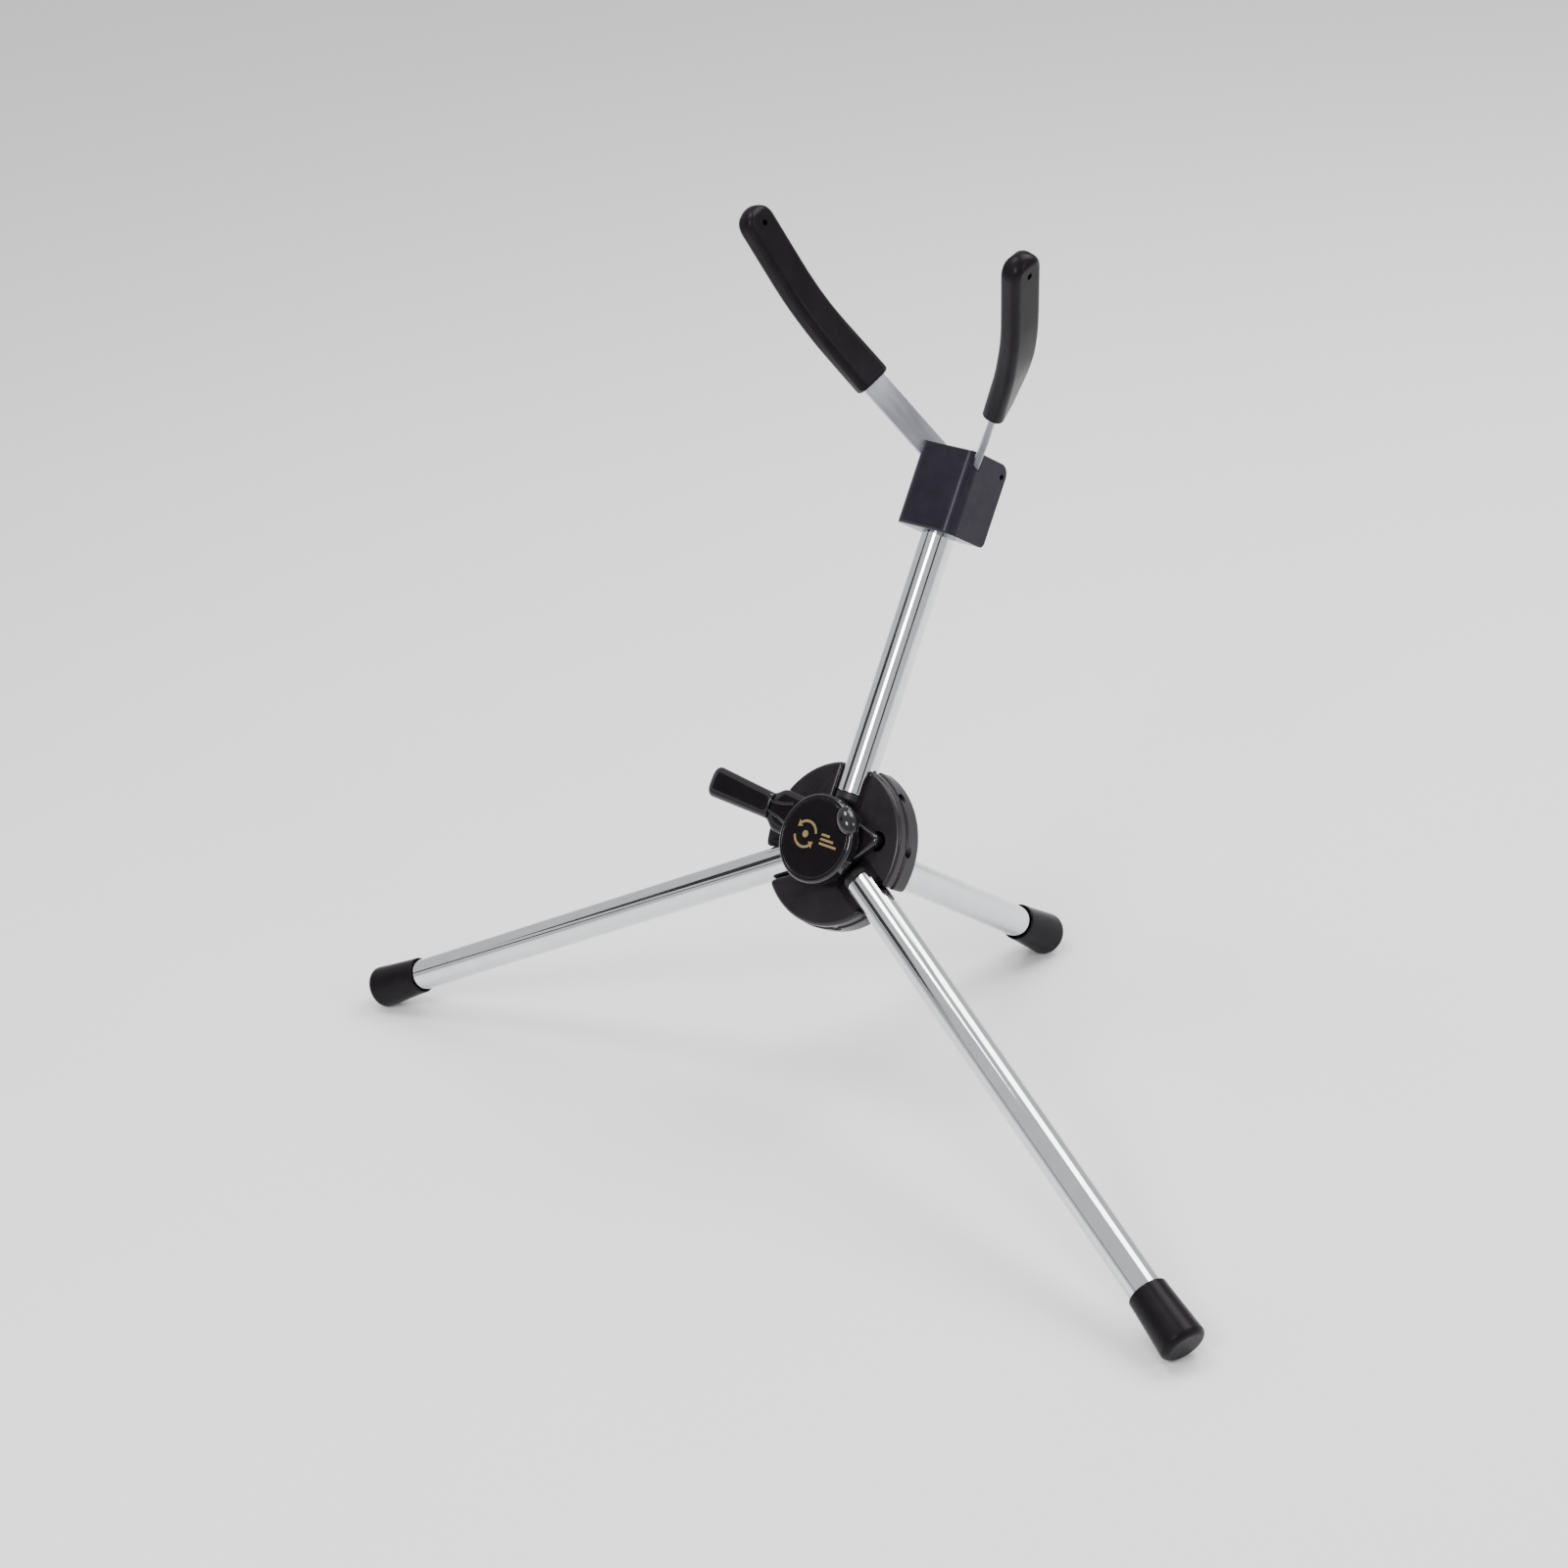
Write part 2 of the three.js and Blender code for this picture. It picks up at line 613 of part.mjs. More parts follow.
// The room an arm's strip needs in the head as it swings up, and its rivet's bore.
function armRoom(side) {
  const low = ARM.width / 2 + GAP;
  const along = new THREE.Vector2(Math.sin(ARM.lean), Math.cos(ARM.lean)).multiplyScalar(60);
  const below = new THREE.Vector2(Math.cos(ARM.lean), -Math.sin(ARM.lean)).multiplyScalar(low);
  const shape = new THREE.Shape();
  shape.absarc(0, 0, low, Math.PI, 2 * Math.PI - ARM.lean);
  shape.lineTo(below.x + along.x, below.y + along.y).lineTo(60, 90).lineTo(-low, 90);
  const slot = raised(shape, -ARM_SLOT / 2, ARM_SLOT / 2);
  const { sign } = ARM_SIDES[side];
  const ends = [-12 * sign, (RIVET_IN + GAP) * sign].sort((a, b) => a - b);
  const bore = rodZ(RIVET_BORE_R, ...ends, 16);
  return [slot, bore].map((geometry) => solid(inSwingFrame(geometry, side)));
}

// ---------------------------------------------------------------- head

function screwBore(to) {
  return rodZ(SCREW_BORE_R, HEAD.back - 1, to, 16).translate(0, HEAD_SCREW_Y, 0);
}

// A channel open behind and above, with a floor that the upright's tube passes through.
function headHousing() {
  const { half, bottom, top, front, back, wall, corner } = HEAD;
  const plan = roundedRectangle(-half, back, half, front, [0, 0, corner, corner]);
  const planSolid = raised(plan, -top, -bottom).rotateX(Math.PI / 2);
  const side = roundedRectangle(-front, bottom, -back, top, [2.4, 3, corner, 1.4]);
  const sideSolid = raised(side, -half, half).rotateY(Math.PI / 2);
  const inside = block([wall - half, half - wall], [bottom + wall, top + 5], [back - 5, front - wall]);
  const tubeHole = rodY(TUBE_R + GAP, bottom - 1, bottom + wall + 1);
  const keyhole = rodX(KEYHOLE.r, -half - 5, half + 5, 16).translate(0, KEYHOLE.y, KEYHOLE.z);
  const tools = [inside, tubeHole, keyhole, screwBore(front - 0.8)].map(solid);
  const rooms = [armRoom("left")[0], armRoom("right")[0]];
  const shell = solid(planSolid).intersect(solid(sideSolid));
  piece(drumFrame, "head_housing", cut(shell, ...tools, ...rooms), HEAD_PLASTIC);
}

// The nylon block inside the housing: it caps the tube and forks around both arms.
function headBlock() {
  const { half, bottom, top, front, back, wall } = HEAD;
  const side = half - wall - GAP;
  const depth = [back + BLOCK_RECESS, front - wall - GAP];
  const body = block([-side, side], [bottom + wall + GAP, top - 1.6], depth);
  const tubeSocket = rodY(TUBE_R + GAP, bottom, UPRIGHT_END + GAP);
  const relief = block([-side, side], [KEYHOLE.y - 5, top], [back, KEYHOLE.z + KEYHOLE.r + 1]);
  const tools = [tubeSocket, screwBore(front), relief].map(solid);
  const rooms = [...armRoom("left"), ...armRoom("right")];
  piece(drumFrame, "head_block", cut(solid(body), ...tools, ...rooms), NYLON);
}

function headScrew() {
  const { r, topR, height, rim, slot } = SCREW_HEAD;
  const seat = HEAD.back + BLOCK_RECESS - GAP;
  const profile = [[0, seat - height], [topR, seat - height], [r, seat - rim], [r, seat], [0, seat]];
  const head = solid(turnedZ(profile, 24));
  const shank = solid(rodZ(SCREW_R, seat - rim / 2, HEAD.front - 1.2, 16));
  const driverSlot = solid(block([-r - 1, r + 1], [-slot / 2, slot / 2], [seat - height - 1, seat - rim]));
  const mesh = piece(drumFrame, "head_screw", cut(join(head, shank), driverSlot), STEEL);
  mesh.position.y = HEAD_SCREW_Y;
}

// ---------------------------------------------------------------- assembly

upright();
frontLeg("left");
frontLeg("right");
rearLeg();
hubBody();
clampBolt();
clampPlate();
leverKnob();
headHousing();
headBlock();
headScrew();
arm("left");
arm("right");

// The stand's own origin is on the floor, in the middle of its plan.
const extent = new THREE.Box3().setFromObject(stand, true);
drumFrame.position.y -= (extent.min.y + extent.max.y) / 2;

export default stand;
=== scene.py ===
"""The folding saxophone stand's looks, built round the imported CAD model. Blender 4.5, metres."""

import json
import math

import bmesh
import bpy
from mathutils import Matrix, Vector


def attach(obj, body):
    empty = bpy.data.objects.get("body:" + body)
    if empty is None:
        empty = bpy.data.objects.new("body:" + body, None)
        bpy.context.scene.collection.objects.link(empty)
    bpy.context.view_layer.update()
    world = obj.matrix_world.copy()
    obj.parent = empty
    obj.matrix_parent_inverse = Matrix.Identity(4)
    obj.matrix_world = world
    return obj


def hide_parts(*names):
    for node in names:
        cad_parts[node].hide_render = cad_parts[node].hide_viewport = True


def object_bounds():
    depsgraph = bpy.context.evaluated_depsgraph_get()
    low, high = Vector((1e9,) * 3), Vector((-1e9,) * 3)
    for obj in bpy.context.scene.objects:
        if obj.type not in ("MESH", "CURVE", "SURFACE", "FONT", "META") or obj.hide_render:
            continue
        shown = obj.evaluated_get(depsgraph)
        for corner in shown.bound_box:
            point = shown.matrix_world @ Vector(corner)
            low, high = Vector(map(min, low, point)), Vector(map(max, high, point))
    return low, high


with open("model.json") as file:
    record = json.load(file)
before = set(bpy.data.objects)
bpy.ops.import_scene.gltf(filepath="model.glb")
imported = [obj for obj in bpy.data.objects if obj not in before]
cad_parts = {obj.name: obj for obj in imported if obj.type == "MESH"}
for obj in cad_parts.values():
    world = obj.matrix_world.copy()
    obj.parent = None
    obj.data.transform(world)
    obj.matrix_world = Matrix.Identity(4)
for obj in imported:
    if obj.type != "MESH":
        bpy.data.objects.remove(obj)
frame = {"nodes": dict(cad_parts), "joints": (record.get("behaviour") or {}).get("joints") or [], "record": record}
cad_box = [list(corner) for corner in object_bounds()]

# ---------------------------------------------------------------- driving dimensions, in millimetres

MM = 0.001
GAP = 0.3
SPOKES = {"upright": math.radians(90), "left": math.radians(210), "right": math.radians(330)}
REAR_TILT = math.radians(4)

TUBE_R = 8
BORE_R = 7
TUBE_START = 25.2
LEG_REACH = 301
UPRIGHT_END = 175.6
REAR_START = 11
NOSE_START = 19.6
PLUG_END = 47
PIN_R = 1.5
PIN_BORE_R = 1.75
PIN_RADIUS = 30.6
PIN_Z = -3.2
PIN_HALF = 22.5
FOOT = {"length": 30, "mouth": 9.3, "end": 10.8, "edge": 3, "floor": 4.3}

DRUM_R = 40.3
FACE_R = 39.5
FACE = 4.4
STEP = -1.6
BACK = -10.4
SLOT_HALF = TUBE_R + GAP
SLOT_ROOT = 19.2
LEDGE_END = 25.5
BOSS_R = 12
BOSS_END = 28
PLATE = {"r": 18.6, "top": 9, "edge": 1.6}
TAB = {"x": 25.4, "y": 7.7, "r": 3.3, "bottom": -1.8, "top": 9.2}
POCKET = {"r": 4.9, "floor": -3.4}
KNOB = {"r": 21.5, "from": 10.6, "face": 17.6, "edge": 1.5}
CAP = {"r": 18.9, "from": 16.2, "to": 17.5}
LEVER = {"angle": math.radians(176), "aside": 5, "reach": 76, "neck": 38, "from": 9.8, "top": 14.4}
PADDLE = {"half": 6.5, "flare": 1.1, "ledge": 0.8, "corner": 4.2, "end_fall": 1.7}
NECK = {"start": 15, "half": 6.1, "shoulder": 4.5, "waist": 33.5, "drop": 1.2}
RIB = {"root": 22, "tip": 39, "half": 0.8, "aside": 2.2, "spread": 3.4}
NUB = {"at": 18.4, "angle": math.radians(42), "across": 5.2, "along": 8, "height": 4.8, "middle": 15}
SCREW_R = 2
SCREW_BORE_R = 2.3
BOLT_BORE_R = 4.25
BORE_SPIN = 0.03  # radians, so that a bore's corners miss those of the piece it cuts
SEAM = 0.05  # stacked discs differ by this much, so that their walls never coincide
BACK_SEAM = {"rim": 0.06, "slot": 0.07}
DISC_OVERLAP = 1.1
WELD = 0.003

ARM = {"plan": math.radians(50), "lean": math.radians(61), "width": 12.4, "thick": 3, "length": 138}
TWIST = {"from": 30, "to": 92, "angle": math.radians(28)}
BEND = {"from": 75, "to": 115, "angle": math.radians(16)}
SLEEVE = {"from": 50, "to": 151.5, "width": 18, "thick": 10.4, "edge": 3.6, "hole": 1.5, "hole_from_end": 9}
SIGN = {"left": -1, "right": 1}

# ---------------------------------------------------------------- frames

joints = {joint["name"]: joint for joint in frame["joints"]}


def turn(angle, axis):
    return Matrix.Rotation(angle, 4, axis)


def shift(x, y, z):
    return Matrix.Translation(Vector((x, y, z)) * MM)


def hub_frame():
    """The drum's frame: x right, y up the upright, z out of its face, amid the three hinge pins."""
    out = Vector(joints["knob_turn"]["axis"]).normalized()
    right = Vector((1, 0, 0))
    pins = [Vector(joints[name]["pos_m"]) for name in ("upright_fold", "left_leg_fold", "right_leg_fold")]
    place = Matrix((right, out.cross(right), out)).transposed().to_4x4()
    place.translation = sum(pins, Vector()) / 3 - out * PIN_Z * MM
    return place


HUB = hub_frame()
REAR = HUB @ turn(math.pi / 2, "Y") @ turn(-REAR_TILT, "Z")


def spoke(name):
    """A folding tube's frame: x out of the drum along the tube, z the drum's axis."""
    return HUB @ turn(SPOKES[name], "Z")


def arm_frame(side):
    """x up the leaning arm and y the inner face of its strip, from the arm's pivot."""
    pivot = Matrix.Translation(HUB.inverted() @ Vector(joints[side + "_arm_swing"]["pos_m"]))
    plan = -ARM["plan"] if side == "right" else ARM["plan"] - math.pi
    lean = turn(math.pi / 2 - ARM["lean"], "Z")
    return HUB @ pivot @ turn(plan, "Y") @ lean @ turn(SIGN[side] * math.pi / 2, "X")


# ---------------------------------------------------------------- meshes, whose points are in millimetres


def new_object(name, points, faces, place=Matrix.Identity(4)):
    mesh = bpy.data.meshes.new(name)
    mesh.from_pydata([Vector(p) * MM for p in points], [], faces)
    mesh.validate()
    made = bpy.data.objects.new(name, mesh)
    bpy.context.scene.collection.objects.link(made)
    made.matrix_world = place
    return made


def skin(rings, closed=False):
    """Points and faces of a skin through rings. It is capped at both ends, or joins its own start."""
    count = len(rings[0])
    total = len(rings) * count
    faces = []
    for start in range(0, total if closed else total - count, count):
        for j in range(count):
            a, b = start + j, start + (j + 1) % count
            faces.append((a, b, (b + count) % total, (a + count) % total))
    if not closed:
        faces.append(tuple(reversed(range(count))))
        faces.append(tuple(range(total - count, total)))
    return [p for ring in rings for p in ring], faces


def along_x(radius, x, count):
    turns = [2 * math.pi * i / count for i in range(count)]
    return [(x, radius * math.cos(t), radius * math.sin(t)) for t in turns]


def along_z(radius, z, count):
    turns = [2 * math.pi * i / count for i in range(count)]
    return [(radius * math.cos(t), radius * math.sin(t), z) for t in turns]


def turned(name, profile, place, ring=along_x, count=96, closed=False):
    """A turned piece from (radius, length) pairs, in order of rising length along its axis."""
    return new_object(name, *skin([ring(r, x, count) for r, x in profile], closed), place)


def arc(centre, radius, start, end, steps=6):
    """Points of an arc in a plane, between two angles in degrees."""
    angles = [math.radians(start + (end - start) * i / steps) for i in range(steps + 1)]
    return [(centre[0] + radius * math.cos(a), centre[1] + radius * math.sin(a)) for a in angles]


def rounded(corners):
    """A closed outline from (x, y, radius) corners, each rounded to its own radius."""
    points = []
    for i, (x, y, radius) in enumerate(corners):
        here = Vector((x, y))
        before = (Vector(corners[i - 1][:2]) - here).normalized()
        after = (Vector(corners[(i + 1) % len(corners)][:2]) - here).normalized()
        if radius == 0:
            points.append(here)
            continue
        reach = radius / math.tan(before.angle(after) / 2)
        steps = max(2, int(radius * 3))
        for k in range(steps + 1):
            t = k / steps
            start, end = here + before * reach, here + after * reach
            points.append(start * (1 - t) ** 2 + here * 2 * t * (1 - t) + end * t * t)
    return points


def inset(outline, distance):
    """The outline moved inwards. It runs counter-clockwise."""
    moved = []
    for i, point in enumerate(outline):
        ahead = (outline[(i + 1) % len(outline)] - outline[i - 1]).normalized()
        moved.append(point + Vector((-ahead.y, ahead.x)) * distance)
    return moved


def raised(name, outline, low, high, edge_low, edge_high, place, steps=4):
    """An outline raised from low to high, its two rims rounded to their own radii."""
    levels = [(low + y, edge_low - x) for x, y in arc((0, edge_low), edge_low, -90, 0, steps)]
    levels += [(high + y, edge_high - x) for x, y in arc((0, -edge_high), edge_high, 0, 90, steps)]
    rings = [[(p.x, p.y, z) for p in inset(outline, distance)] for z, distance in levels]
    return new_object(name, *skin(rings), place)


def apply_modifier(target, kind, **settings):
    modifier = target.modifiers.new(kind, kind)
    for key, value in settings.items():
        setattr(modifier, key, value)
    bpy.context.view_layer.update()
    evaluated = target.evaluated_get(bpy.context.evaluated_depsgraph_get())
    finished = bpy.data.meshes.new_from_object(evaluated)
    target.modifiers.clear()
    target.data = finished


def combine(target, tools, operation, weld=0.0, own=False):
    """Joins or cuts closed shells: weld merges close points, own handles shells that meet themselves."""
    for tool in tools:
        apply_modifier(target, "BOOLEAN", object=tool, operation=operation, solver="EXACT", use_self=own)
        bpy.data.objects.remove(tool)
        if weld:
            apply_modifier(target, "WELD", merge_threshold=weld * MM)
    return target


def merge(first, *others):
    """Several closed shells as one object, in the first one's frame."""
    whole = bmesh.new()
    whole.from_mesh(first.data)
    for other in others:
        other.data.transform(first.matrix_world.inverted() @ other.matrix_world)
        whole.from_mesh(other.data)
        bpy.data.objects.remove(other)
    whole.to_mesh(first.data)
    whole.free()
    return first


def soften(target, voxel, passes):
    """Blends a piece's shells into one moulded body with soft inner corners."""
    apply_modifier(target, "REMESH", mode="VOXEL", voxel_size=voxel * MM)
    apply_modifier(target, "SMOOTH", factor=0.5, iterations=passes)


def finished(target, body, slot, material, replaces, sharp=30):
    """The last steps of a piece: smooth shading, its material, the body it rides on, what it stands for."""
    target.data.shade_smooth()
    target.data.set_sharp_from_angle(angle=math.radians(sharp))
    apply_modifier(target, "WEIGHTED_NORMAL", keep_sharp=True, mode="FACE_AREA", weight=80)
    target.data.materials.clear()
    target.data.materials.append(material)
    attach(target, body)
    if replaces:
        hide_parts(*replaces)
    return target


def fine_copy(node, name, edge):
    """A CAD node's shape with its corners eased."""
    source = frame["nodes"][node]
    made = bpy.data.objects.new(name, source.data.copy())
    bpy.context.scene.collection.objects.link(made)
    shape = bmesh.new()
    shape.from_mesh(made.data)
    bmesh.ops.remove_doubles(shape, verts=shape.verts, dist=0.02 * MM)
    bmesh.ops.dissolve_limit(shape, angle_limit=math.radians(2), verts=shape.verts, edges=shape.edges)
    shape.to_mesh(made.data)
    shape.free()
    apply_modifier(made, "BEVEL", width=edge * MM, segments=3, limit_method="ANGLE",
                   angle_limit=math.radians(35), use_clamp_overlap=True)
    return made


# ---------------------------------------------------------------- materials


class Finish:
    """A Principled material whose colour, roughness and bump come from textures fixed to the piece."""

    def __init__(self, name, color, metallic, roughness, specular=0.5, coat=0.0):
        self.material = bpy.data.materials.new(name)
        self.material.use_nodes = True
        self.nodes = self.material.node_tree.nodes
        self.links = self.material.node_tree.links
        self.shader = self.nodes["Principled BSDF"]
        self.shader.inputs["Base Color"].default_value = (*color, 1)
        self.shader.inputs["Metallic"].default_value = metallic
        self.shader.inputs["Roughness"].default_value = roughness
        self.shader.inputs["Specular IOR Level"].default_value = specular
        self.shader.inputs["Coat Weight"].default_value = coat
        self.shader.inputs["Coat Roughness"].default_value = 0.08
        self.where = self.nodes.new("ShaderNodeTexCoord").outputs["Object"]

    def noise(self, grain, stretch=(1, 1, 1), detail=4, rough=0.6):
        """Noise with grains of about this many millimetres, stretched along the piece's axes."""
        mapping = self.nodes.new("ShaderNodeMapping")
        mapping.inputs["Scale"].default_value = [1 / (grain * MM * s) for s in stretch]
        texture = self.nodes.new("ShaderNodeTexNoise")
        texture.inputs["Scale"].default_value = 1
        texture.inputs["Detail"].default_value = detail
        texture.inputs["Roughness"].default_value = rough
        self.links.new(self.where, mapping.inputs["Vector"])
        self.links.new(mapping.outputs["Vector"], texture.inputs["Vector"])
        return texture.outputs["Fac"]

    def ramp(self, source, stops):
        ramp = self.nodes.new("ShaderNodeValToRGB")
        elements = ramp.color_ramp.elements
        while len(elements) < len(stops):
            elements.new(0.5)
        for element, (at, value) in zip(elements, stops):
            element.position = at
            element.color = (*value, 1) if isinstance(value, tuple) else (value, value, value, 1)
        self.links.new(source, ramp.inputs["Fac"])
        return ramp.outputs["Color"]

    def colour(self, source, stops):
        self.links.new(self.ramp(source, stops), self.shader.inputs["Base Color"])
        return self

    def roughness(self, source, stops):
        self.links.new(self.ramp(source, stops), self.shader.inputs["Roughness"])
        return self

    def bump(self, *layers):
        """Layers of (texture, height in millimetres), one over another."""
        normal = None
        for source, height in layers:
            node = self.nodes.new("ShaderNodeBump")
            node.inputs["Distance"].default_value = height * MM
            self.links.new(source, node.inputs["Height"])
            if normal:
                self.links.new(normal, node.inputs["Normal"])
            normal = node.outputs["Normal"]
        self.links.new(normal, self.shader.inputs["Normal"])
        return self


def chrome():
    """Bright plate over drawn tube: faint draw lines, smudges of handling, a faintly mottled tone."""
    made = Finish("chrome_plate", (0.67, 0.68, 0.70), 1, 0.07)
    smudge = made.noise(26, (2.5, 1, 1), detail=6)
    made.roughness(smudge, [(0.38, 0.035), (0.62, 0.075), (0.8, 0.15)])
    made.colour(made.noise(9, detail=5), [(0.3, (0.64, 0.65, 0.67)), (0.7, (0.7, 0.71, 0.725))])
    made.bump((made.noise(0.5, (60, 1, 1), detail=2), 0.0006), (made.noise(11, (5, 1, 1)), 0.0022))
    return made.material


def plated_steel():
    """Dull zinc plate on rolled strip, brushed along its length."""
    made = Finish("plated_steel", (0.36, 0.36, 0.405), 1, 0.38)
    brush = made.noise(0.35, (70, 1, 1), detail=3)
    made.roughness(made.noise(6, (6, 1, 1), detail=5), [(0.3, 0.33), (0.7, 0.45)])
    made.colour(made.noise(5, (6, 1, 1), detail=6), [(0.3, (0.33, 0.33, 0.37)), (0.7, (0.4, 0.4, 0.445))])
    made.bump((brush, 0.002), (made.noise(1.2), 0.002))
    return made.material


def turned_brass():
    made = Finish("turned_brass", (0.7, 0.52, 0.22), 1, 0.3)
    made.roughness(made.noise(2, (1, 1, 0.2)), [(0.3, 0.22), (0.7, 0.4)])
    return made.bump((made.noise(0.4, (1, 1, 0.3)), 0.01)).material


def gold_print():
    made = Finish("gold_print", (0.62, 0.45, 0.16), 0.85, 0.3)
    made.colour(made.noise(0.8), [(0.3, (0.5, 0.35, 0.12)), (0.7, (0.75, 0.57, 0.24))])
    return made.bump((made.noise(0.25), 0.006)).material


def moulded(name, dark, light, rough, grain, specular=0.5, coat=0.0):
    """Injection-moulded plastic: mottled tone, moulded grain, and rubbed patches that shine more."""
    made = Finish(name, dark, 0, sum(rough) / 2, specular, coat)
    made.colour(made.noise(11, detail=6), [(0.3, dark), (0.72, light)])
    made.roughness(made.noise(17, (1, 1, 1.6), detail=7), [(0.3, rough[0]), (0.7, rough[1])])
    made.bump((made.noise(0.32, detail=3), grain), (made.noise(9, detail=2), grain * 4))
    return made.material


CHROME = chrome()
STEEL = plated_steel()
BRASS = turned_brass()
GOLD = gold_print()
DRUM = moulded("drum_plastic", (0.011, 0.0085, 0.0108), (0.0165, 0.0132, 0.0162), (0.24, 0.36), 0.005, 0.3)
GLOSS = moulded("gloss_plastic", (0.0056, 0.0044, 0.0058), (0.0082, 0.0066, 0.0084), (0.08, 0.15), 0.001,
                0.42, 0.24)
SHELL = moulded("head_shell", (0.0125, 0.0112, 0.0175), (0.0185, 0.0168, 0.025), (0.18, 0.28), 0.003, 0.13)
NYLON = moulded("nylon", (0.006, 0.006, 0.007), (0.010, 0.010, 0.011), (0.34, 0.5), 0.006, 0.3)
RUBBER = moulded("rubber", (0.0052, 0.004, 0.0054), (0.0092, 0.0072, 0.0094), (0.28, 0.4), 0.005, 0.09)

# ---------------------------------------------------------------- tubes, plugs and feet


def tube_profile(start, end):
    """Round the lips of a thin tube, out along its skin and back through its bore."""
    lip = (TUBE_R - BORE_R) / 2
    middle = BORE_R + lip
    near = arc((middle, start + lip), lip, -180, 0, 8)
    far = arc((middle, end - lip), lip, 0, 180, 8)
    return near + far


def pin_bore(place):
    rod = turned("bore", [(PIN_BORE_R, -12), (PIN_BORE_R, 12)], Matrix.Identity(4), count=32)
    rod.matrix_world = place @ shift(PIN_RADIUS, 0, PIN_Z) @ turn(math.pi / 2, "Z")
    return rod


def folding_tube(name, body, end, replaces):
    place = spoke(name)
    tube = turned(body + "_tube_chromed", tube_profile(TUBE_START, end), place, closed=True)
    combine(tube, [pin_bore(place)], "DIFFERENCE")
    finished(tube, body, "chrome", CHROME, [replaces])


def hinge_plug(name, body):
    place = spoke(name)
    nose = 3
    inner = BORE_R - GAP
    profile = [(0.2, NOSE_START)]
    profile += [(r, x) for x, r in arc((NOSE_START + nose, TUBE_R - nose), nose, 180, 90, 10)]
    profile += [(TUBE_R - 0.15, TUBE_START - GAP - 0.15), (TUBE_R - 0.3, TUBE_START - GAP)]
    profile += [(inner, TUBE_START - GAP), (inner, PLUG_END - 1), (inner - 1, PLUG_END)]
    plug = turned(body + "_plug_moulded", profile, place)
    combine(plug, [pin_bore(place)], "DIFFERENCE")
    finished(plug, body, "nylon", NYLON, [body + "_hinge_plug"])


def foot(name, body, place, reach):
    """A rubber ferrule: a lip at its mouth, a slight waist, and a round heel pressed flat by the floor."""
    mouth = reach - FOOT["length"]
    bore = TUBE_R + GAP
    end, edge = FOOT["end"], FOOT["edge"]
    floor = reach - FOOT["floor"] + GAP
    inside = [(0.2, floor), (bore, floor)]
    lip = [(r, x) for x, r in arc((mouth + 0.5, bore + 0.5), 0.5, 270, 180, 4)]
    lip += [(r, x) for x, r in arc((mouth + 0.6, FOOT["mouth"] - 0.6), 0.6, 180, 90, 4)]
    side = []
    for i in range(1, 12):
        t = i / 12
        x = mouth + 0.6 + t * (FOOT["length"] - edge - 0.6)
        side.append((FOOT["mouth"] + (end - FOOT["mouth"]) * t ** 1.15, x))
    heel = [(r, x) for x, r in arc((reach - edge, end - edge), edge, 88, 0, 12)]
    profile = inside + lip + side + heel + [(0.2, reach)]
    made = turned(name + "_moulded", profile, place)
    down = made.matrix_world.to_3x3().inverted() @ Vector((0, 0, 1))
    for vertex in made.data.vertices:
        below = (made.matrix_world @ vertex.co).z
        if below < 0:
            vertex.co -= down * below
    finished(made, body, "rubber", RUBBER, [name])


def pin(name, place, half, radius, body, slot="steel", middle=(0, 0, 0)):
    dome = 0.5
    profile = [(0.1, -half), (radius - dome, -half + 0.05), (radius, -half + dome)]
    profile += [(radius, half - dome), (radius - dome, half - 0.05), (0.1, half)]
    rod = turned(name + "_turned", profile, place @ shift(*middle) @ turn(math.pi / 2, "Z"), count=40)
    finished(rod, body, slot, STEEL, [name])


def legs():
    for side in ("left", "right"):
        body = side + "_leg"
        folding_tube(side, body, LEG_REACH - FOOT["floor"], body + "_tube")
        hinge_plug(side, body)
        foot(side + "_foot", body, spoke(side), LEG_REACH)
        pin(body + "_hinge_pin", spoke(side), PIN_HALF, PIN_R, "hub", middle=(PIN_RADIUS, 0, PIN_Z))
    folding_tube("upright", "upright", UPRIGHT_END, "upright_tube")
    hinge_plug("upright", "upright")
    pin("upright_hinge_pin", spoke("upright"), PIN_HALF, PIN_R, "hub", middle=(PIN_RADIUS, 0, PIN_Z))


def rear_leg():
    """The rear leg's length follows from where its foot meets the floor."""
    slope = -(REAR.to_3x3() @ Vector((1, 0, 0))).z
    heel = (FOOT["end"] - FOOT["edge"]) * math.sqrt(1 - slope * slope) + FOOT["edge"]
    reach = (HUB.translation.z / MM + 0.5 - heel) / slope + FOOT["edge"]
    tube = turned("rear_tube_chromed", tube_profile(REAR_START, reach - FOOT["floor"]), REAR, closed=True)
    finished(tube, "hub", "chrome", CHROME, ["rear_leg_tube"])
    foot("rear_foot", "hub", REAR, reach)
    middle = ((REAR_START + BOSS_END) / 2 + 1, 0, 0)
    pin("rear_leg_rivet", REAR, BOSS_R - 0.4, SCREW_R, "hub", middle=middle)


# ---------------------------------------------------------------- drum


